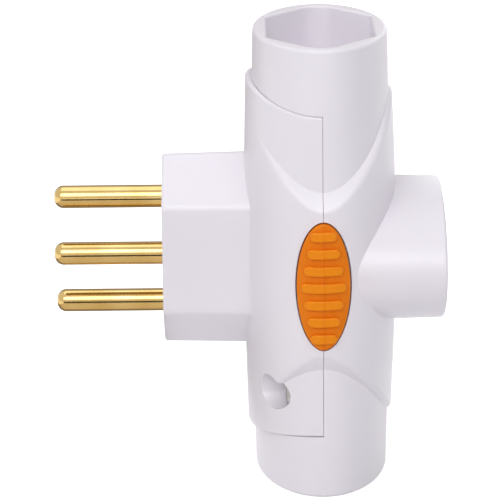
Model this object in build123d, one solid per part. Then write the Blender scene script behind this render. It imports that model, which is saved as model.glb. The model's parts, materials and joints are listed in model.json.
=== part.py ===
from build123d import *
import os
from math import cos, radians, tan

# T-shaped socket adapter: a plug with three round pins feeds three outlets.
# Millimetres. Origin at the centre of the plug's front face, pins towards -X, +Z up,
# the front grip pads face -Y. Every piece is drawn about the centre of the seam
# between the two casing halves and is moved into that frame as it is written.

# Plug and socket interface
PIN_D = 4.0
PIN_LENGTH = 19.0
PIN_TIP_R = 1.6
PIN_SPACING = 19.0  # line to neutral
EARTH_OFFSET = 3.0  # earth, off the line through the other two
PIN_HOLE_D = 4.4  # holes in an outlet's face
NOSE_HALF_LENGTH = 17.1
NOSE_HALF_WIDTH = 8.4
NOSE_END_ANGLE = 45.0  # degrees, sloping end to the short axis
NOSE_TIP_R = 2.2
NOSE_SHOULDER_R = 2.0
RECESS_HALF_LENGTH = 18.0
RECESS_HALF_WIDTH = 9.3
RECESS_END_ANGLE = 50.0
RECESS_TIP_R = 3.5
RECESS_SHOULDER_R = 1.5
RECESS_DEPTH = 11.2

# Outer form
NOSE_REACH = 27.7  # seam to the plug's front face
SIDE_REACH = 21.2  # seam to the side outlet's rim
END_REACH = 39.6  # centre to the upper and lower rims
BODY_RX = 13.3
BODY_RY = 23.0
BODY_BARREL = 0.9  # how far the body narrows from its middle to its ends
ARCH_POINTS = ((0, 29.6), (7.5, 27.2), (15.1, 21.6), (20.6, 16.1), (24.5, 8.1))  # Y, Z
ARCH_Z = -0.3  # the arched body sits a little below the middle
ARCH_CREST_R = 6.0
COLLAR_R_SHORT = 11.65  # at the rim
COLLAR_R_LONG = 20.4  # at the rim
DRAFT = 1.3  # degrees, collars and nose
LEDGE_Z = 28.3  # the plug casing's end at the seam
LEDGE_R = 28.0
SHELL_PROUD = 1.15  # plug casing outside the collar, at its far side

# Roundings
RIM_ROUND = 0.6
MOUTH_ROUND = 0.4
NECK_ROUND = 1.2
LEDGE_ROUND = 0.45
NOSE_ROUND = 0.6

# Walls and clearances
BODY_WALL = 2.4
TUBE_WALL = 1.8
FACE_THICKNESS = 2.6  # outlet faces
NOSE_WALL = 2.2
NOSE_ROOT = 3.0  # the nose's solid, into the body
NOSE_OPENING = 2.0  # the nose's room, past the body's wall
NOSE_FACE_THICKNESS = 3.4
DRUM_HALF_HEIGHT = 12.5  # where the wide part of the hollow ends
PART_GAP = 0.07  # between the two casing halves
INSET_GAP = 0.2
INSET_STEP = 0.5  # faces' inset outline, inside the collar's rim outline
INSET_TIP_STEP = 0.35  # further in at the outline's long ends
INSET_END = 6.0  # rim to the end of the inset, hidden by the rings
LIP_REACH = 1.5
LIP_THICKNESS = 1.0
LIP_GAP = 0.15

# Grip pads
PAD_RX = 4.55
PAD_RZ = 11.1
PAD_Z = -0.65  # the pads sit a little below the middle
PAD_PROUD = 0.5
PAD_DEPTH = 1.3
PAD_GAP = 0.25
PAD_SEAM = 0.012
PAD_STEP = 0.15  # the left half stands this much prouder
PAD_ROUND = 0.35
RIB_COUNT = 7
RIB_PITCH = 3.0
RIB_HEIGHT = 1.7
RIB_PROUD = 0.65
RIB_ROUND = 0.3
RIB_LONGEST = 7.7
RIB_SHORTENING = 1.05

# Pins, strips and sleeves
PIN_ROOT_D = 4.8
ROOT_GAP = 0.05
FLANGE_D = 6.0
FLANGE_THICKNESS = 1.2
RING_GAP = 0.1  # round a flange
RING_WALL = 0.8
RING_HEIGHT = 1.5
STEM_D = 3.2
TENON_D = 2.4
RIVET_D = 3.8
RIVET_HEIGHT = 0.6
STRIP_THICKNESS = 0.8
STRIP_WIDTH = 6.0
STRIP_OFFSET = 2.65  # sleeve axis to its strip
STRIP_END_GAP = 0.3
FLAG_WIDTH = 5.8
FLAG_OVERLAP = 3.0  # flag past the pin it carries
FLAG_X = -6.9  # middle of the line and neutral flags
EARTH_FLAG_X = -11.4
BEND_R = 1.2
SLEEVE_D = 5.1
SLEEVE_LENGTH = 12.0
SLEEVE_SLOT = 0.8
FOOT_WIDTH = 2.4
FOOT_LENGTH = 5.0
SPRING_THICKNESS = 0.6
SPRING_WIDTH = 2.0
SPRING_SETBACK = 7.5

# Screws and their posts
SCREW_Y = 15.7
SCREW_Z = 21.6
SCREW_D = 3.0
SCREW_LENGTH = 9.3
SCREW_HEAD_D = 5.2
SCREW_HEAD_HEIGHT = 1.9
SCREW_SEAT_X = -4.5
COUNTERBORE_D = 6.2
SEAT_THICKNESS = 1.2
POST_D = 8.8  # round the head
POST_LAND_D = 5.8  # round the shank
SCREW_GAP = 0.2
THREAD_GAP = 0.05
PILOT_RUN = 0.3  # pilot hole past the screw's tip
SCREW_POINT_R = 0.3
CROSS_SPAN = 3.1
CROSS_WIDTH = 0.7

# Ribs inside
PARTITION_Y = 4.9
RIB_THICKNESS = 1.2
SEAT_RIB_WIDTH = 3.0
SEAT_GAP = 0.1
SEAT_RIB_Z = 19.0

FAR = 100.0
BLEND = 0.1  # overlap that joins two solids into one
END_FLOOR = END_REACH - RECESS_DEPTH
END_BACK = END_FLOOR - FACE_THICKNESS
SIDE_FLOOR = SIDE_REACH - RECESS_DEPTH
SIDE_BACK = SIDE_FLOOR - FACE_THICKNESS
DRAFT_SLOPE = tan(radians(DRAFT))
LIVE = PIN_SPACING / 2

# Each outlet opens along its plane's normal, with its earth hole on the plane's +X side.
TOP = Plane(origin=(0, 0, 0), x_dir=(1, 0, 0), z_dir=(0, 0, 1))
BOTTOM = Plane(origin=(0, 0, 0), x_dir=(1, 0, 0), z_dir=(0, 0, -1))
SIDE = Plane(origin=(0, 0, 0), x_dir=(0, 0, 1), z_dir=(1, 0, 0))
OUTLETS = ((TOP, END_REACH, END_FLOOR), (BOTTOM, END_REACH, END_FLOOR), (SIDE, SIDE_REACH, SIDE_FLOOR))
# Profiles seen along +X: width is Y, height is Z.
ACROSS_X = Plane(origin=(0, 0, 0), x_dir=(0, 1, 0), z_dir=(1, 0, 0))
TURN = Rot(180, 0, 0)  # half a turn about X swaps line with neutral
FROM_BASE = (Align.CENTER, Align.CENTER, Align.MIN)


def slab(low, high):
    """Everything between two planes across X."""
    return Pos((low + high) / 2, 0, 0) * Box(high - low, 2 * FAR, 2 * FAR)


def hexagon(half_width, half_length, end_angle, tip_r, shoulder_r):
    """Elongated hexagon, its length along Y from rounded tip to rounded tip."""
    slope = radians(end_angle)
    apex = half_length + (1 / cos(slope) - 1) * tip_r
    shoulder = apex - half_width * tan(slope)
    corners = [(0, -apex), (half_width, -shoulder), (half_width, shoulder)]
    corners += [(0, apex), (-half_width, shoulder), (-half_width, -shoulder)]
    outline = make_face(Polyline(*corners, close=True))
    tips = outline.vertices().sort_by(Axis.Y)
    outline = fillet([tips[0], tips[-1]], tip_r)
    shoulders = [v for v in outline.vertices() if abs(abs(v.X) - half_width) < 0.001]
    return fillet(shoulders, shoulder_r)


def collar(reach, proud=0.0):
    """Solid collar along +Z that widens from its rim down to the middle of the part."""
    grow = reach * DRAFT_SLOPE
    foot = Ellipse(COLLAR_R_SHORT + proud + grow, COLLAR_R_LONG + grow)
    rim = Pos(0, 0, reach) * Ellipse(COLLAR_R_SHORT + proud, COLLAR_R_LONG)
    solid = loft([foot, rim])
    return fillet(solid.edges().sort_by(Axis.Z)[-1], RIM_ROUND)


def barrel(grow=0.0):
    """The body's drum along Z, with its wall moved out by grow."""
    end = ARCH_POINTS[0][1] + 1
    sections = []
    for z, slim in ((-end, BODY_BARREL), (0, 0), (end, BODY_BARREL)):
        sections.append(Pos(0, 0, z) * Ellipse(BODY_RX + grow - slim, BODY_RY + grow - slim))
    return loft(sections)


def arch():
    """Block across X whose upper and lower ends are arches."""
    foot_y, foot_z = ARCH_POINTS[-1]
    edges = []
    for y_sign in (1, -1):
        for z_sign in (1, -1):
            points = [(y_sign * y, z_sign * z + ARCH_Z) for y, z in ARCH_POINTS]
            edges.append(Spline(*points))
        edges.append(Line((y_sign * foot_y, ARCH_Z + foot_z), (y_sign * foot_y, ARCH_Z - foot_z)))
    outline = make_face(edges)
    crests = [v for v in outline.vertices() if abs(v.X) < 0.001]
    outline = fillet(crests, ARCH_CREST_R)
    return extrude(ACROSS_X * outline, amount=FAR, both=True)


def body():
    """The drum with arched ends and a rounded neck."""
    drum = barrel() & arch()
    neck = [e for e in drum.edges() if e.bounding_box().size.Y > 1]
    return fillet(neck, NECK_ROUND)


def ledge_roll(gap=0.0):
    """The two rolls whose faces are the plug casing's curved ends."""
    roll = Rot(90, 0, 0) * Cylinder(LEDGE_R - gap, 2 * FAR)
    height = LEDGE_Z + LEDGE_R
    return Pos(0, 0, height) * roll + Pos(0, 0, -height) * roll


def hollow(shrink=0.0):
    """The room inside both casing halves."""
    drum = Ellipse(BODY_RX - BODY_WALL - shrink, BODY_RY - BODY_WALL - shrink)
    tube = Ellipse(COLLAR_R_SHORT - TUBE_WALL - shrink, COLLAR_R_LONG - TUBE_WALL - shrink)
    room = extrude(drum, amount=DRUM_HALF_HEIGHT - shrink, both=True)
    room += extrude(tube, amount=END_BACK, both=True)
    side_outlet = Box(FAR, FAR, 2 * DRUM_HALF_HEIGHT)
    return room - Pos(SIDE_BACK + FAR / 2, 0, 0) * side_outlet


def post(diameter, low, high):
    """Both screw posts, between two planes across X."""
    both = Part()
    for turn in (1, -1):
        middle = Pos((low + high) / 2, turn * -SCREW_Y, turn * -SCREW_Z)
        both += middle * Rot(0, 90, 0) * Cylinder(diameter / 2, high - low)
    return both


def pad_window(margin=0.0):
    """Elliptical prisms along Y through the front and rear pads."""
    outline = Plane.XZ * Pos(0, PAD_Z) * Ellipse(PAD_RX + margin, PAD_RZ + margin)
    return extrude(outline, amount=FAR, both=True)


def pad_pockets():
    """Room for the pads, sunk into the body's front and rear."""
    return pad_window(PAD_GAP) - barrel(-PAD_DEPTH)


def inset(gap=0.0):
    """Outline of the outlets' faces where they sit inside the plug casing."""
    step = INSET_STEP - gap
    return Ellipse(COLLAR_R_SHORT - step, COLLAR_R_LONG - step - INSET_TIP_STEP)


def main_casing():
    """Casing half with the side outlet, and the whole upper and lower outlets."""
    ends = collar(END_REACH) + BOTTOM * collar(END_REACH)
    right = (body() + ends + SIDE * collar(SIDE_REACH)) & slab(0, FAR)
    rings = ends & ledge_roll(PART_GAP) & slab(-FAR, 0)
    skirt = extrude(Pos(0, 0, END_BACK) * inset(), amount=END_REACH - END_BACK - INSET_END)
    skirts = (skirt + BOTTOM * skirt) & slab(-FAR, 0)
    shell = right + rings + skirts
    shell -= hollow() & slab(0, FAR)
    shell -= pad_pockets() & slab(-1, FAR)
    for plane, reach, floor in OUTLETS:
        shell -= plane * Pos(0, 0, floor) * well()
        hole = Cylinder(PIN_HOLE_D / 2, 2 * FACE_THICKNESS + 2)
        for x, y in ((0, LIVE), (0, -LIVE), (EARTH_OFFSET, 0)):
            shell -= plane * Pos(x, y, floor) * hole
    shell += inner_ribs() & hollow(-BLEND) & slab(0, FAR)
    shell += lip()
    shell += post(POST_LAND_D, 0, FAR) & hollow(-BLEND) & slab(0, FAR)
    tip = SCREW_SEAT_X + SCREW_LENGTH
    shell -= post(SCREW_D + 2 * THREAD_GAP, -1, tip + PILOT_RUN)
    return shell


def well():
    """Room of one recess, from its floor to past the rim, with a rounded mouth."""
    outline = hexagon(
        RECESS_HALF_WIDTH, RECESS_HALF_LENGTH, RECESS_END_ANGLE, RECESS_TIP_R, RECESS_SHOULDER_R
    )
    mouth = Pos(0, 0, RECESS_DEPTH) * extrude(offset(outline, 2 * MOUTH_ROUND), amount=MOUTH_ROUND)
    room = extrude(outline, amount=RECESS_DEPTH) + mouth
    edge = [e for e in room.edges() if is_mouth_edge(e)]
    return fillet(edge, MOUTH_ROUND)


def is_mouth_edge(edge):
    """Whether an edge lies at a recess's mouth, on the recess's own outline."""
    box = edge.bounding_box()
    level = abs(box.min.Z - RECESS_DEPTH) < 0.001 and abs(box.max.Z - RECESS_DEPTH) < 0.001
    inside = max(abs(box.min.X), abs(box.max.X)) < RECESS_HALF_WIDTH + 0.001
    return level and inside and max(abs(box.min.Y), abs(box.max.Y)) < RECESS_HALF_LENGTH + 0.001


def inner_ribs():
    """Partitions between the contacts, and ribs that stop the strips' edges."""
    ribs = Part()
    height = END_BACK - DRUM_HALF_HEIGHT
    middle = (END_BACK + DRUM_HALF_HEIGHT) / 2
    for z in (middle, -middle):
        for y in (PARTITION_Y, -PARTITION_Y):
            ribs += Pos(FAR / 2, y, z) * Box(FAR, RIB_THICKNESS, height)
    strip_y = LIVE - STRIP_OFFSET - STRIP_THICKNESS / 2
    earth_y = STRIP_OFFSET + STRIP_THICKNESS / 2
    seats = ((strip_y, STRIP_WIDTH / 2), (-strip_y, STRIP_WIDTH / 2))
    seats += ((earth_y, EARTH_OFFSET + STRIP_WIDTH / 2),)
    for y, edge in seats:
        for z in (SEAT_RIB_Z, -SEAT_RIB_Z):
            rib = Box(FAR, SEAT_RIB_WIDTH, RIB_THICKNESS)
            ribs += Pos(edge + SEAT_GAP + FAR / 2, y, z) * rib
    return ribs


def lip():
    """Thin lip that reaches from the main casing into the plug casing."""
    core = hollow(LIP_GAP + LIP_THICKNESS)
    tongue = (hollow(LIP_GAP) - core) & slab(-LIP_REACH, 0)
    root = (hollow(-BLEND) - core) & slab(0, LIP_REACH)
    rim = (tongue + root) - post(POST_D + 2 * INSET_GAP, -LIP_REACH - 1, 0)
    inner = END_BACK - LIP_THICKNESS
    return rim & Box(FAR, FAR, 2 * inner)


def plug_casing():
    """Casing half with the plug's hollow nose."""
    end = (collar(END_REACH, SHELL_PROUD) - ledge_roll()) & slab(-FAR, -PART_GAP)
    above = [e for e in end.edges() if e.center().Z > LEDGE_Z]
    ledge = [e for e in above if e.bounding_box().size.X > COLLAR_R_SHORT / 2]
    end = fillet(ledge, LEDGE_ROUND)
    ends = end + BOTTOM * end
    shell = (body() & slab(-FAR, -PART_GAP)) + ends + nose()
    seat_back = SCREW_SEAT_X + SEAT_THICKNESS
    shell -= hollow() - post(POST_D, -FAR, seat_back) - post(POST_LAND_D, seat_back, 0)
    sleeve = extrude(Pos(0, 0, END_BACK - INSET_GAP) * inset(INSET_GAP), amount=END_REACH)
    shell -= sleeve + BOTTOM * sleeve
    shell -= nose_room()
    shell += nose_rings()
    shell -= pad_pockets() & slab(-FAR, 1)
    shell += post(POST_LAND_D, -1, 0)
    shell -= post(SCREW_D + 2 * SCREW_GAP, -FAR, 1)
    shell -= post(COUNTERBORE_D, -FAR, SCREW_SEAT_X)
    return shell


def nose_outline(grow, x):
    """Hexagonal section of the nose at a plane across X."""
    outline = hexagon(
        NOSE_HALF_WIDTH + grow, NOSE_HALF_LENGTH + grow, NOSE_END_ANGLE, NOSE_TIP_R, NOSE_SHOULDER_R
    )
    return ACROSS_X * Pos(0, 0, x) * outline


def nose():
    """The plug's nose, solid, reaching into the body."""
    depth = NOSE_REACH - BODY_RX + NOSE_ROOT
    solid = loft([nose_outline(0, -NOSE_REACH), nose_outline(depth * DRAFT_SLOPE, depth - NOSE_REACH)])
    face = solid.faces().sort_by(Axis.X)[0]
    return fillet(face.edges(), NOSE_ROUND)


def nose_room():
    """Room inside the nose and the holes for the pins."""
    front = NOSE_FACE_THICKNESS - NOSE_REACH
    back = BODY_WALL - BODY_RX + NOSE_OPENING
    room = extrude(nose_outline(-NOSE_WALL, front), amount=back - front)
    for y, z in pin_places():
        hole = Rot(0, 90, 0) * Cylinder(PIN_ROOT_D / 2 + ROOT_GAP, 2 * NOSE_FACE_THICKNESS + 1)
        room += Pos(-NOSE_REACH, y, z) * hole
    return room


def nose_rings():
    """Rings inside the nose that centre the pins' flanges."""
    front = NOSE_FACE_THICKNESS - NOSE_REACH
    inner = FLANGE_D / 2 + RING_GAP
    rings = Part()
    for y, z in pin_places():
        ring = Circle(inner + RING_WALL) - Circle(inner)
        rings += extrude(ACROSS_X * Pos(y, z, front) * ring, amount=RING_HEIGHT)
    within = extrude(nose_outline(BLEND - NOSE_WALL, front), amount=RING_HEIGHT)
    return rings & within


def pin_places():
    """Places of the plug's line, neutral and earth pins on its front face."""
    return (0, LIVE), (0, -LIVE), (-EARTH_OFFSET, 0)


def pin(place, flag_x):
    """Turned pin, flanged behind the plug's face and riveted to its flag."""
    wall = NOSE_FACE_THICKNESS
    flange = wall + FLANGE_THICKNESS
    shoulder = NOSE_REACH + flag_x - STRIP_THICKNESS / 2
    rivet = shoulder + STRIP_THICKNESS
    steps = [(0, PIN_LENGTH), (PIN_D / 2, PIN_LENGTH), (PIN_D / 2, 0), (PIN_ROOT_D / 2, 0)]
    steps += [(PIN_ROOT_D / 2, -wall), (FLANGE_D / 2, -wall), (FLANGE_D / 2, -flange)]
    steps += [(STEM_D / 2, -flange), (STEM_D / 2, -shoulder), (TENON_D / 2, -shoulder)]
    steps += [(TENON_D / 2, -rivet), (RIVET_D / 2, -rivet), (RIVET_D / 2, -rivet - RIVET_HEIGHT)]
    steps += [(0, -rivet - RIVET_HEIGHT)]
    profile = make_face(Polyline(*steps, close=True))
    tip = profile.vertices().sort_by(Axis.Y)[-2:].sort_by(Axis.X)[-1]
    profile = Plane.XZ * fillet(tip, PIN_TIP_R)
    turned = revolve(profile, Axis.Z)
    return Pos(-NOSE_REACH, *place) * Rot(0, -90, 0) * turned


def flag(route, place, width):
    """Bent strip along a route in the XY plane, pierced for the pin's tenon."""
    band = trace(FilletPolyline(*route, radius=BEND_R), STRIP_THICKNESS)
    bent = extrude(band, amount=width / 2, both=True)
    hole = Rot(0, 90, 0) * Cylinder(TENON_D / 2 + ROOT_GAP, 4)
    return Pos(0, 0, place[1]) * (bent - Pos(route[-1][0], place[0], 0) * hole)


def live_busbar():
    """Strip for the line contacts, with the flag that meets the line pin."""
    y = STRIP_OFFSET + STRIP_THICKNESS / 2 - LIVE
    strip = Pos(0, y, 0) * Box(STRIP_WIDTH, STRIP_THICKNESS, 2 * (END_BACK - STRIP_END_GAP))
    route = [(0, y), (FLAG_X, y), (FLAG_X, FLAG_OVERLAP)]
    return strip + flag(route, (0, LIVE), FLAG_WIDTH)


def earth_busbar():
    """Strip for the earth contacts, with the flag that meets the earth pin."""
    y = STRIP_OFFSET + STRIP_THICKNESS / 2
    height = 2 * (END_BACK - STRIP_END_GAP)
    strip = Pos(EARTH_OFFSET, y, 0) * Box(STRIP_WIDTH, STRIP_THICKNESS, height)
    route = [(EARTH_OFFSET, y), (EARTH_FLAG_X, y), (EARTH_FLAG_X, -EARTH_OFFSET - FLAG_OVERLAP)]
    return strip + flag(route, (-EARTH_OFFSET, 0), FLAG_WIDTH)


def contact_planes(live):
    """Start, run and strip side of the contacts of one pole, and where each foot is."""
    if live:
        towards, x, y, z, side_foot = (0, 1, 0), 0, -LIVE, 0, SIDE_BACK - STRIP_END_GAP
    else:
        towards, x, y, z = (0, 1, 0), EARTH_OFFSET, 0, EARTH_OFFSET
        side_foot = SIDE_BACK - STRIP_END_GAP - EARTH_OFFSET
    end, side = END_BACK - STRIP_END_GAP, SIDE_BACK - STRIP_END_GAP
    middle = SLEEVE_LENGTH / 2
    return {
        "top": (Plane(origin=(x, y, end), x_dir=towards, z_dir=(0, 0, -1)), middle),
        "bottom": (Plane(origin=(x, y, -end), x_dir=towards, z_dir=(0, 0, 1)), middle),
        "side": (Plane(origin=(side, y, z), x_dir=towards, z_dir=(-1, 0, 0)), side_foot),
    }


def sleeve(plane, foot_at):
    """Split sleeve that grips one pin, with a flat foot on its strip."""
    ring = Cylinder(SLEEVE_D / 2, SLEEVE_LENGTH, align=FROM_BASE)
    block = Box(STRIP_OFFSET, FOOT_WIDTH, FOOT_LENGTH, align=(Align.MIN, Align.CENTER, Align.CENTER))
    slot = Box(SLEEVE_D, SLEEVE_SLOT, 3 * SLEEVE_LENGTH, align=(Align.MAX, Align.CENTER, Align.CENTER))
    bore = Cylinder(PIN_D / 2, 3 * SLEEVE_LENGTH)
    return plane * (ring + Pos(0, 0, foot_at) * block - slot - bore)


def springs(planes):
    """One open ring round each sleeve of a pole, its gap towards the strip."""
    inner = SLEEVE_D / 2 + ROOT_GAP
    gap = Polygon((0, 0), (SLEEVE_D, -SLEEVE_D), (SLEEVE_D, SLEEVE_D), align=None)
    ring = extrude(Circle(inner + SPRING_THICKNESS) - Circle(inner) - gap, amount=SPRING_WIDTH)
    return [plane * Pos(0, 0, SPRING_SETBACK) * ring for plane, _ in planes.values()]


def outer_edges(solid):
    """Edges round a solid's outermost face on the front of the body."""
    return solid.faces().sort_by(Axis.Y)[0].edges()


def grip_pad(side):
    """Half pad with half ribs on the front of the body, on one side of the seam."""
    left = side == "left"
    proud = PAD_PROUD + (PAD_STEP if left else 0)
    half = slab(-FAR, -PAD_SEAM / 2) if left else slab(PAD_SEAM / 2, FAR)
    front = Pos(0, -FAR / 2, 0) * Box(FAR, FAR, FAR) & half
    core = barrel(THREAD_GAP - PAD_DEPTH)
    blank = (pad_window() & barrel(proud) & front) - core
    rim = [e for e in outer_edges(blank) if e.bounding_box().size.X > 1]
    pad = fillet(rim, PAD_ROUND)
    crown = barrel(proud + RIB_PROUD)
    for row in range(RIB_COUNT):
        step = row - (RIB_COUNT - 1) / 2
        length = RIB_LONGEST - RIB_SHORTENING * abs(step)
        bar = Plane.XZ * Pos(0, PAD_Z + step * RIB_PITCH) * SlotOverall(length, RIB_HEIGHT)
        rib = (extrude(bar, amount=FAR, both=True) & crown & front) - core
        edges = [e for e in outer_edges(rib) if e.bounding_box().size.X > 0.1]
        pad += fillet(edges, RIB_ROUND)
    return pad


def casing_screw():
    """Self-tapping pan-head screw in the front post."""
    head, shank = SCREW_HEAD_D / 2, SCREW_D / 2
    steps = [(0, -SCREW_HEAD_HEIGHT), (head, -SCREW_HEAD_HEIGHT), (head, 0), (shank, 0)]
    steps += [(shank, SCREW_LENGTH - shank), (SCREW_POINT_R, SCREW_LENGTH), (0, SCREW_LENGTH)]
    profile = make_face(Polyline(*steps, close=True))
    crown = profile.vertices().sort_by(Axis.Y)[:2].sort_by(Axis.X)[-1]
    turned = revolve(Plane.XZ * fillet(crown, SCREW_HEAD_HEIGHT / 2), Axis.Z)
    slot = Box(CROSS_SPAN, CROSS_WIDTH, SCREW_HEAD_HEIGHT)
    cross = Pos(0, 0, -SCREW_HEAD_HEIGHT) * (slot + Rot(0, 0, 90) * slot)
    return Pos(SCREW_SEAT_X, -SCREW_Y, -SCREW_Z) * Rot(0, 90, 0) * (turned - cross)


def pieces():
    """Every piece by its node name."""
    line, earth = contact_planes(True), contact_planes(False)
    line_at, neutral_at, earth_at = pin_places()
    made = {
        "main_casing": main_casing(),
        "plug_casing": plug_casing(),
        "line_pin": pin(line_at, FLAG_X),
        "neutral_pin": pin(neutral_at, FLAG_X),
        "earth_pin": pin(earth_at, EARTH_FLAG_X),
        "line_busbar": live_busbar(),
        "neutral_busbar": TURN * live_busbar(),
        "earth_busbar": earth_busbar(),
        "casing_screw_front": casing_screw(),
        "casing_screw_rear": TURN * casing_screw(),
        "line_contact_springs": Compound(springs(line)),
        "neutral_contact_springs": TURN * Compound(springs(line)),
        "earth_contact_springs": Compound(springs(earth)),
    }
    opposite = {"top": "bottom", "bottom": "top", "side": "side"}
    for outlet in opposite:
        made[f"line_contact_{outlet}"] = sleeve(*line[outlet])
        made[f"neutral_contact_{outlet}"] = TURN * sleeve(*line[opposite[outlet]])
        made[f"earth_contact_{outlet}"] = sleeve(*earth[outlet])
    for side in ("left", "right"):
        made[f"front_grip_{side}"] = grip_pad(side)
        made[f"rear_grip_{side}"] = mirror(grip_pad(side), Plane.XZ)
    return made


os.makedirs("parts", exist_ok=True)
for name, piece in pieces().items():
    export_step(Pos(NOSE_REACH, 0, 0) * piece, f"parts/{name}.step")
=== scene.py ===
# %% [markdown]
# # A T-shaped socket adapter, dressed for its portrait
# The adapter is a small moulded product: two white casing halves meet on a seam, orange
# grip pads sit in pockets front and rear, and three turned brass pins stand out of the
# plug's nose. The solids arrive finished from the CAD model, so this lesson is about
# finishes, light and the camera. Everything is in metres, in the CAD model's own frame.
# Loading leaves every solid selected, and Blender's operators act on what is selected, so
# the selection is cleared at once.

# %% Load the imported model
import json
import math

import bpy
from mathutils import Matrix, Vector


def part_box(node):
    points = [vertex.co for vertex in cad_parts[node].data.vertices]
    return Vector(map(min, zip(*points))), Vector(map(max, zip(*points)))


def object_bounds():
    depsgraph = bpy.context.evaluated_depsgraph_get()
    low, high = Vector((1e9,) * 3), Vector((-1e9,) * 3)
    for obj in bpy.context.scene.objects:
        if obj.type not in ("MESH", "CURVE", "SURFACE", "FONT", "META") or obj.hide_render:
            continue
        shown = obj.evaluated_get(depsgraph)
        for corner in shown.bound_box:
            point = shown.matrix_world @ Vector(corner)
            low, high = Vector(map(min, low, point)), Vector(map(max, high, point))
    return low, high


MM = 0.001
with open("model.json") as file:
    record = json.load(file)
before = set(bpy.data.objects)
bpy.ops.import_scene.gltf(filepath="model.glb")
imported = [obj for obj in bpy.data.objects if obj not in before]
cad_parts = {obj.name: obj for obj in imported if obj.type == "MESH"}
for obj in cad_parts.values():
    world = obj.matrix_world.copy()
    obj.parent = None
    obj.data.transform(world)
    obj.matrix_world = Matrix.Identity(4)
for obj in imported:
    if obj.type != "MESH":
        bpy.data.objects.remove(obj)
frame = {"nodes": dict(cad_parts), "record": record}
cad_low, cad_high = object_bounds()
bpy.ops.object.select_all(action="DESELECT")
print("nodes:", len(frame["nodes"]), "box:", cad_low, cad_high)

# %% [markdown]
# ## The camera
# A long lens from a little above the object keeps the pins parallel and the outlet's rim
# an almost flat oval. The camera is placed by a target, two angles and a distance, because
# those are easy to reason about, and a half-degree of roll tips the object's axis slightly.
# The Standard view transform shows a colour about as it is written.

# %% Place the camera
VIEW_AZIMUTH = math.radians(0.07)
VIEW_ELEVATION = math.radians(16.14)
VIEW_ROLL = math.radians(-0.6)
VIEW_DISTANCE = 492.1 * MM
VIEW_TARGET = Vector((15.28, 0, -0.57)) * MM
LENS = 200.44
SENSOR_WIDTH = 36
CLIP_NEAR = 0.01
CLIP_FAR = 20

back = Vector((
    math.sin(VIEW_AZIMUTH) * math.cos(VIEW_ELEVATION),
    -math.cos(VIEW_AZIMUTH) * math.cos(VIEW_ELEVATION),
    math.sin(VIEW_ELEVATION),
))
level_right = Vector((0, 0, 1)).cross(back).normalized()
level_up = back.cross(level_right)
right = level_right * math.cos(VIEW_ROLL) + level_up * math.sin(VIEW_ROLL)
up = level_up * math.cos(VIEW_ROLL) - level_right * math.sin(VIEW_ROLL)
eye = VIEW_TARGET + back * VIEW_DISTANCE
turn = Matrix((right, up, back)).transposed().to_4x4()

camera_data = bpy.data.cameras.new("portrait_camera")
camera_data.lens = LENS
camera_data.sensor_width = SENSOR_WIDTH
camera_data.clip_start = CLIP_NEAR
camera_data.clip_end = CLIP_FAR
camera = bpy.data.objects.new("portrait_camera", camera_data)
camera.matrix_world = Matrix.Translation(eye) @ turn
bpy.context.scene.collection.objects.link(camera)
bpy.context.scene.camera = camera
bpy.context.scene.view_settings.view_transform = "Standard"
print("eye:", [round(value, 4) for value in eye])

# %% [markdown]
# ## Starting a material
# Every finish here is a Principled BSDF with a few procedural nodes in front of it. One
# helper adds a node and sets its sockets, and another starts the material itself.


# %% Material helpers
def add_node(tree, kind, **sockets):
    """Adds a node and sets its input sockets by name, with underscores for spaces."""
    node = tree.nodes.new(kind)
    for name, value in sockets.items():
        node.inputs[name.replace("_", " ")].default_value = value
    return node


def start_material(name, colour, roughness, metallic=0.0):
    """A Principled material of one colour, with its tree and its shader."""
    material = bpy.data.materials.new(name)
    material.use_nodes = True
    tree = material.node_tree
    surface = tree.nodes["Principled BSDF"]
    surface.inputs["Base Color"].default_value = (*colour, 1)
    surface.inputs["Roughness"].default_value = roughness
    surface.inputs["Metallic"].default_value = metallic
    return material, tree, surface


# %% [markdown]
# ## Patterns that stay on their piece
# Moulded and turned surfaces are never quite even. A noise texture gives that unevenness,
# and it reads Object coordinates, so the pattern stays still on its piece. Most of a
# noise's values lie between 0.3 and 0.7, so that range is spread over the one wanted. The
# result then tints the colour, varies the roughness or raises a very fine relief.

# %% Pattern helpers
NOISE_LOW = 0.3
NOISE_HIGH = 0.7


def object_noise(tree, scale, detail=3.0, stretch=(1, 1, 1)):
    """Noise on Object coordinates, which may be stretched along an axis."""
    place = tree.nodes.new("ShaderNodeTexCoord")
    mapping = add_node(tree, "ShaderNodeMapping", Scale=stretch)
    noise = add_node(tree, "ShaderNodeTexNoise", Scale=scale, Detail=detail)
    tree.links.new(place.outputs["Object"], mapping.inputs["Vector"])
    tree.links.new(mapping.outputs["Vector"], noise.inputs["Vector"])
    return noise


def spread(tree, source, low, high):
    """Maps a noise's middle values to a range."""
    ranged = add_node(tree, "ShaderNodeMapRange",
                      From_Min=NOISE_LOW, From_Max=NOISE_HIGH, To_Min=low, To_Max=high)
    tree.links.new(source.outputs[0], ranged.inputs["Value"])
    return ranged


def mix_colours(tree, factor, first, second):
    """Mixes two colours by a socket's value. A colour is three numbers or a socket."""
    mix = tree.nodes.new("ShaderNodeMix")
    mix.data_type = "RGBA"
    tree.links.new(factor, mix.inputs["Factor"])
    for name, colour in (("A", first), ("B", second)):
        if isinstance(colour, bpy.types.NodeSocket):
            tree.links.new(colour, mix.inputs[name])
        else:
            mix.inputs[name].default_value = (*colour, 1)
    return mix.outputs["Result"]


def vary_colour(tree, noise, first, second):
    """A colour that drifts between two neighbours."""
    return mix_colours(tree, spread(tree, noise, 0, 1).outputs[0], first, second)


def vary_roughness(tree, noise, surface, low, high):
    """Roughness that drifts between two values."""
    tree.links.new(spread(tree, noise, low, high).outputs[0], surface.inputs["Roughness"])


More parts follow.
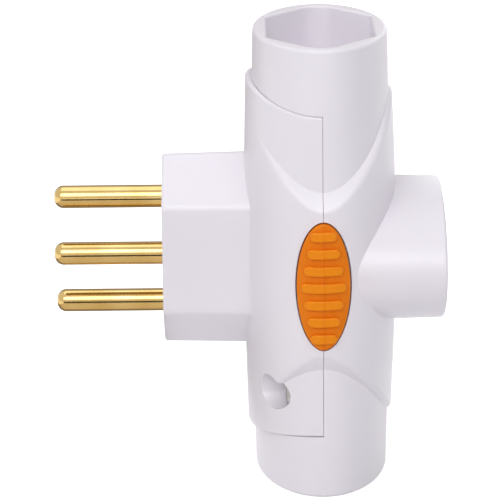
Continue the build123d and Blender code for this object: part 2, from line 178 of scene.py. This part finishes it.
def bump(tree, source, surface, distance, strength):
    """Fine relief from a value, as a bump on the surface."""
    relief = add_node(tree, "ShaderNodeBump", Distance=distance, Strength=strength)
    tree.links.new(source.outputs[0], relief.inputs["Height"])
    tree.links.new(relief.outputs["Normal"], surface.inputs["Normal"])


# %% [markdown]
# ## White moulded casing
# The casing is injection-moulded plastic, near white with a trace of violet, and satin
# rather than mirror-glossy: a polished mould leaves a skin with a faint ripple. The ripple
# is a very shallow bump, and a slow noise varies the roughness as handling does.

# %% Casing plastic
CASING_WHITE = (0.82, 0.79, 0.84)
CASING_SHADE = (0.795, 0.765, 0.815)
CASING_ROUGHNESS = (0.32, 0.42)
CASING_IOR = 1.49
CASING_DRIFT_SCALE = 55
CASING_RIPPLE_SCALE = 1600
CASING_RIPPLE = 0.006 * MM
CASING_RIPPLE_STRENGTH = 0.5


def casing_plastic():
    material, tree, surface = start_material("casing_white", CASING_WHITE, 0.36)
    surface.inputs["IOR"].default_value = CASING_IOR
    drift = object_noise(tree, CASING_DRIFT_SCALE)
    ripple = object_noise(tree, CASING_RIPPLE_SCALE, detail=2)
    colour = vary_colour(tree, drift, CASING_WHITE, CASING_SHADE)
    tree.links.new(colour, surface.inputs["Base Color"])
    vary_roughness(tree, drift, surface, *CASING_ROUGHNESS)
    bump(tree, ripple, surface, CASING_RIPPLE, CASING_RIPPLE_STRENGTH)
    return material


finishes = {"casing": casing_plastic()}
print("casing:", finishes["casing"].name)

# %% [markdown]
# ## How high a point stands on a grip pad
# The pads' rib tops get a painted highlight, a lighter orange than the field, from a mask
# that is worked out, not drawn. The body's section is an ellipse, so a point's height over
# the body is its distance along Y from that ellipse, which Math nodes work out from the place.

# %% Height over the body
SEAM_X = 27.7 * MM
BODY_RX = 13.3 * MM
BODY_RY = 23.0 * MM


def calculate(tree, operation, first, second=None):
    """One math node on values or on other nodes' outputs."""
    node = tree.nodes.new("ShaderNodeMath")
    node.operation = operation
    for socket, value in zip(node.inputs, (first, second)):
        if isinstance(value, bpy.types.NodeSocket):
            tree.links.new(value, socket)
        elif value is not None:
            socket.default_value = value
    return node.outputs[0]


def height_over_body(tree):
    """How far a point stands out of the body's elliptical section along Y."""
    place = tree.nodes.new("ShaderNodeTexCoord")
    parts = tree.nodes.new("ShaderNodeSeparateXYZ")
    tree.links.new(place.outputs["Object"], parts.inputs[0])
    across = calculate(tree, "SUBTRACT", parts.outputs["X"], SEAM_X)
    share = calculate(tree, "DIVIDE", across, BODY_RX)
    rest = calculate(tree, "SUBTRACT", 1.0, calculate(tree, "MULTIPLY", share, share))
    wall = calculate(tree, "MULTIPLY", calculate(tree, "SQRT", rest), BODY_RY)
    return calculate(tree, "SUBTRACT", calculate(tree, "ABSOLUTE", parts.outputs["Y"]), wall)


# %% [markdown]
# ## Orange grip pads
# The pads are moulded in a softer, duller plastic than the casing, so a finger holds on
# them. Their ribs' tops are painted a lighter orange than the field, a painted highlight for
# the light the raised tops catch. The two oranges meet on the ribs' flanks, between the two
# heights named here.

# %% Grip plastic
FIELD_ORANGE = (0.83, 0.215, 0.003)
FIELD_DEEP = (0.76, 0.185, 0.002)
# Painted highlight: the ribs' tops get this lighter orange for the light they catch.
RIB_PAINTED_HIGHLIGHT = (0.86, 0.255, 0.004)
FIELD_HEIGHT = 0.75 * MM
RIB_TOP_HEIGHT = 1.10 * MM
GRIP_ROUGHNESS = (0.40, 0.52)
GRIP_SPECULAR = 0.15
GRIP_DRIFT_SCALE = 120
GRIP_GRAIN_SCALE = 2600
GRIP_GRAIN = 0.012 * MM
GRIP_GRAIN_STRENGTH = 0.6


def grip_plastic():
    material, tree, surface = start_material("grip_orange", FIELD_ORANGE, 0.45)
    surface.inputs["Specular IOR Level"].default_value = GRIP_SPECULAR
    drift = object_noise(tree, GRIP_DRIFT_SCALE)
    grain = object_noise(tree, GRIP_GRAIN_SCALE, detail=2)
    field = vary_colour(tree, drift, FIELD_ORANGE, FIELD_DEEP)
    # Painted highlight: the field's orange turns lighter up the ribs' flanks to their tops.
    rib_painted_highlight = add_node(tree, "ShaderNodeMapRange", From_Min=FIELD_HEIGHT, From_Max=RIB_TOP_HEIGHT)
    tree.links.new(height_over_body(tree), rib_painted_highlight.inputs["Value"])
    colour = mix_colours(tree, rib_painted_highlight.outputs[0], field, RIB_PAINTED_HIGHLIGHT)
    tree.links.new(colour, surface.inputs["Base Color"])
    vary_roughness(tree, drift, surface, *GRIP_ROUGHNESS)
    bump(tree, grain, surface, GRIP_GRAIN, GRIP_GRAIN_STRENGTH)
    return material


finishes["grip"] = grip_plastic()
print("grip:", finishes["grip"].name)

# %% [markdown]
# ## Turned brass
# A pin comes off an automatic lathe and is then tumbled bright, so it keeps a trace of
# rings round its axis. A wave texture along X makes the rings, and a stretched noise makes
# the faint streaks that sliding in and out of contacts leaves along the pin.

# %% Pin brass
PIN_GOLD = (0.68, 0.49, 0.21)
PIN_AMBER = (0.58, 0.39, 0.14)
PIN_ROUGHNESS = (0.08, 0.17)
PIN_DRIFT_SCALE = 160
STREAK_SCALE = 900
STREAK_STRETCH = (0.05, 1, 1)
RING_SCALE = 1400
RING_WOBBLE = 0.3
RING_RELIEF = 0.002 * MM
RING_STRENGTH = 0.3


def turned_brass():
    material, tree, surface = start_material("pin_brass", PIN_GOLD, 0.18, 1.0)
    streaks = object_noise(tree, STREAK_SCALE, stretch=STREAK_STRETCH)
    drift = object_noise(tree, PIN_DRIFT_SCALE)
    place = tree.nodes.new("ShaderNodeTexCoord")
    rings = add_node(tree, "ShaderNodeTexWave", Scale=RING_SCALE, Distortion=RING_WOBBLE)
    rings.bands_direction = "X"
    tree.links.new(place.outputs["Object"], rings.inputs["Vector"])
    colour = vary_colour(tree, drift, PIN_GOLD, PIN_AMBER)
    tree.links.new(colour, surface.inputs["Base Color"])
    vary_roughness(tree, streaks, surface, *PIN_ROUGHNESS)
    bump(tree, rings, surface, RING_RELIEF, RING_STRENGTH)
    return material


finishes["pin"] = turned_brass()
print("pin:", finishes["pin"].name)

# %% [markdown]
# ## Strips, springs and screws
# The strips and sleeves are rolled brass, the springs are steel and the screws are zinc
# plated. Rolling and plating leave a fine grain along one direction, so one helper makes
# all three: a noise drawn out along Z varies the roughness and raises a very fine relief.

# %% Strip, spring and screw metal
STRIP_BRASS = (0.74, 0.55, 0.25)
STEEL = (0.56, 0.57, 0.59)
ZINC = (0.42, 0.42, 0.43)
GRAIN_STRETCH = (1, 1, 0.08)
GRAIN_RELIEF = 0.004 * MM
GRAIN_STRENGTH = 0.4
GRAIN_SMOOTHER = 0.06
GRAIN_ROUGHER = 0.08


def plain_metal(name, colour, roughness, grain_scale):
    material, tree, surface = start_material(name, colour, roughness, 1.0)
    grain = object_noise(tree, grain_scale, stretch=GRAIN_STRETCH)
    vary_roughness(tree, grain, surface, roughness - GRAIN_SMOOTHER, roughness + GRAIN_ROUGHER)
    bump(tree, grain, surface, GRAIN_RELIEF, GRAIN_STRENGTH)
    return material


finishes["strip"] = plain_metal("strip_brass", STRIP_BRASS, 0.30, 900)
finishes["spring"] = plain_metal("spring_steel", STEEL, 0.30, 1200)
finishes["screw"] = plain_metal("screw_zinc", ZINC, 0.34, 1500)
print("metals:", [finishes[slot].name for slot in ("pin", "strip", "spring", "screw")])

# %% [markdown]
# ## Which piece wears which finish
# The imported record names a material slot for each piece, such as casing or pin. Looking
# the slot up, instead of listing the pieces here, keeps this step right if one is added.

# %% Give each node its finish
slot_of = {part["node"]: part["material_slot"] for part in frame["record"]["subparts"]}
for node_name, node in frame["nodes"].items():
    node.data.materials.clear()
    node.data.materials.append(finishes[slot_of[node_name]])
print({slot: material.name for slot, material in finishes.items()})

# %% [markdown]
# ## A white room
# The object stands in a white room, which only looks white to the camera and in
# reflections, through the Light Path node. The light that the room sheds on the object is
# dimmer, so pale plastic keeps its shading, and it fades from left to right, as beside a
# window: the world's direction along X sets its strength.

# %% World
BACKDROP = (1.0, 1.0, 1.0)
ROOM_LIGHT = (0.965, 0.955, 0.975)
ROOM_LEFT = 0.77
ROOM_RIGHT = 0.46


def seen_directly(tree):
    """1 for camera, glossy and transmission rays, and 0 for the others."""
    path = tree.nodes.new("ShaderNodeLightPath")
    shown = calculate(tree, "MAXIMUM", path.outputs["Is Camera Ray"], path.outputs["Is Glossy Ray"])
    return calculate(tree, "MAXIMUM", shown, path.outputs["Is Transmission Ray"])


def switch_shader(tree, lit, shown, output_kind):
    """Ends a tree: one shader lights the object, and the other is what is seen."""
    pick = tree.nodes.new("ShaderNodeMixShader")
    output = tree.nodes.new(output_kind)
    tree.links.new(seen_directly(tree), pick.inputs[0])
    tree.links.new(lit.outputs[0], pick.inputs[1])
    tree.links.new(shown.outputs[0], pick.inputs[2])
    tree.links.new(pick.outputs[0], output.inputs["Surface"])


world = bpy.data.worlds.new("white_room")
world.use_nodes = True
bpy.context.scene.world = world
room = world.node_tree
room.nodes.clear()
dim = add_node(room, "ShaderNodeBackground", Color=(*ROOM_LIGHT, 1))
white = add_node(room, "ShaderNodeBackground", Color=(*BACKDROP, 1), Strength=1.0)
compass = room.nodes.new("ShaderNodeTexCoord")
axes = room.nodes.new("ShaderNodeSeparateXYZ")
fade = add_node(room, "ShaderNodeMapRange",
                From_Min=-1, From_Max=1, To_Min=ROOM_LEFT, To_Max=ROOM_RIGHT)
room.links.new(compass.outputs["Generated"], axes.inputs[0])
room.links.new(axes.outputs["X"], fade.inputs["Value"])
room.links.new(fade.outputs[0], dim.inputs["Strength"])
switch_shader(room, dim, white, "ShaderNodeOutputWorld")
print("room light from", ROOM_LEFT, "to", ROOM_RIGHT)

# %% [markdown]
# ## The floor
# A matt plane under the object takes its shadow and throws a little light back up. Where
# it is seen, a glow is added to the matt surface, which lifts it to white and leaves the
# shadow in place.

# %% Floor
FLOOR_SIZE = 4.0
FLOOR_GREY = (0.70, 0.695, 0.70)
FLOOR_GLOW = 0.8

floor_white = bpy.data.materials.new("floor_white")
floor_white.use_nodes = True
floor_tree = floor_white.node_tree
floor_tree.nodes.clear()
matt = add_node(floor_tree, "ShaderNodeBsdfDiffuse", Color=(*FLOOR_GREY, 1))
glow = add_node(floor_tree, "ShaderNodeEmission", Color=(*BACKDROP, 1), Strength=FLOOR_GLOW)
lifted = floor_tree.nodes.new("ShaderNodeAddShader")
floor_tree.links.new(matt.outputs[0], lifted.inputs[0])
floor_tree.links.new(glow.outputs[0], lifted.inputs[1])
switch_shader(floor_tree, matt, lifted, "ShaderNodeOutputMaterial")

bpy.ops.mesh.primitive_plane_add(size=FLOOR_SIZE, location=(0, 0, cad_low.z))
floor = bpy.context.object
floor.name = "floor"
bpy.ops.object.transform_apply(location=True, rotation=True, scale=True)
floor.data.materials.append(floor_white)
print("floor at", round(cad_low.z, 4))

# %% [markdown]
# ## Soft lamps
# Four wide lamps light the object as a product table does: the key from the front left,
# a fill from the front right, one overhead for the rims, and a weak one behind, so that
# the back isn't lost in other views. Wide lamps give soft edges to shadows, and warmer or
# cooler tints of white keep the two sides apart.

# %% Lamps
LAMPS = (
    # name, place, width and height, watts, colour
    ("key", (-0.26, -0.72, 0.50), (0.5, 0.34), 1.95, (1, 0.985, 0.96)),
    ("fill", (0.20, -0.66, 0.44), (0.5, 0.5), 0.9, (0.97, 0.97, 1)),
    ("top", (0.05, 0.10, 0.75), (0.68, 0.57), 1.3, (0.95, 0.965, 1)),
    ("rear", (0.10, 0.74, 0.12), (0.6, 0.5), 0.75, (1, 1, 1)),
)


def soft_lamp(name, place, aim, size, power, colour):
    """Rectangular area lamp at a place, turned to face a point."""
    data = bpy.data.lights.new(name, "AREA")
    data.shape = "RECTANGLE"
    data.size, data.size_y = size
    data.energy = power
    data.color = colour
    lamp = bpy.data.objects.new(name, data)
    bpy.context.scene.collection.objects.link(lamp)
    lamp.location = place
    lamp.rotation_euler = (Vector(aim) - Vector(place)).to_track_quat("-Z", "Y").to_euler()


middle = (cad_low + cad_high) / 2
for name, place, size, power, colour in LAMPS:
    soft_lamp(name, place, middle, size, power, colour)
print("lamps:", [lamp[0] for lamp in LAMPS])

# %% [markdown]
# ## Cards for the brass to reflect
# Polished metal has hardly a colour of its own: it shows what stands round it. A bright
# card gives each pin its long highlight, a dark one in front gives the thin line below it,
# and greys behind and under the pins stand for the table. The cards are planes that only
# reflections see, so they cast no shadow and light nothing.

# %% Reflection cards
BLACK = (0, 0, 0)
DARK_BROWN = (0.05, 0.037, 0.025)
WARM_GREY = (0.34, 0.30, 0.25)
PALE_GREY = (0.85, 0.79, 0.70)
STUDIO_WHITE = (4.2, 4.2, 4.2)
CARD_MARGIN = 60 * MM
FLAT = 1 * MM
HIGH_CARD_Y = -350 * MM
FRONT_CARD_Y = -100 * MM
REAR_CARD_Y = 100 * MM

pin_low, pin_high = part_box("line_pin")
card_left = pin_low.x - CARD_MARGIN
floor_z = cad_low.z
just_above = floor_z + FLAT
cards = (
    # name, lowest corner, highest corner, shade
    ("bright_card", (card_left, HIGH_CARD_Y, 150 * MM), (160 * MM, HIGH_CARD_Y, 420 * MM),
     STUDIO_WHITE),
    ("near_floor_card", (card_left, -90 * MM, just_above), (0, 0, just_above), PALE_GREY),
    ("front_card", (card_left, FRONT_CARD_Y, floor_z + 2 * MM),
     (50 * MM, FRONT_CARD_Y, floor_z + 33 * MM), DARK_BROWN),
    ("rear_card", (card_left, REAR_CARD_Y, floor_z + 2 * MM),
     (50 * MM, REAR_CARD_Y, floor_z + 130 * MM), WARM_GREY),
    ("floor_card", (card_left, 0, just_above), (0, REAR_CARD_Y, just_above), WARM_GREY),
)


def reflection_card(name, low, high, shade):
    """Upright or flat card that only polished metal sees, between two corners."""
    bpy.ops.object.select_all(action="DESELECT")
    bpy.ops.mesh.primitive_plane_add(size=1)
    card = bpy.context.object
    card.name = name
    low, high = Vector(low), Vector(high)
    if high.z - low.z > FLAT:
        card.rotation_euler.x = math.radians(90)
        card.scale = (high.x - low.x, high.z - low.z, 1)
    else:
        card.scale = (high.x - low.x, high.y - low.y, 1)
    card.location = (low + high) / 2
    bpy.ops.object.transform_apply(location=True, rotation=True, scale=True)
    card.visible_camera = False
    card.visible_diffuse = False
    card.visible_shadow = False
    material, _, surface = start_material(name, BLACK, 0.5)
    surface.inputs["Emission Color"].default_value = (*shade, 1)
    surface.inputs["Emission Strength"].default_value = 1
    card.data.materials.append(material)


for name, low, high, shade in cards:
    reflection_card(name, low, high, shade)
print("cards:", [card[0] for card in cards])
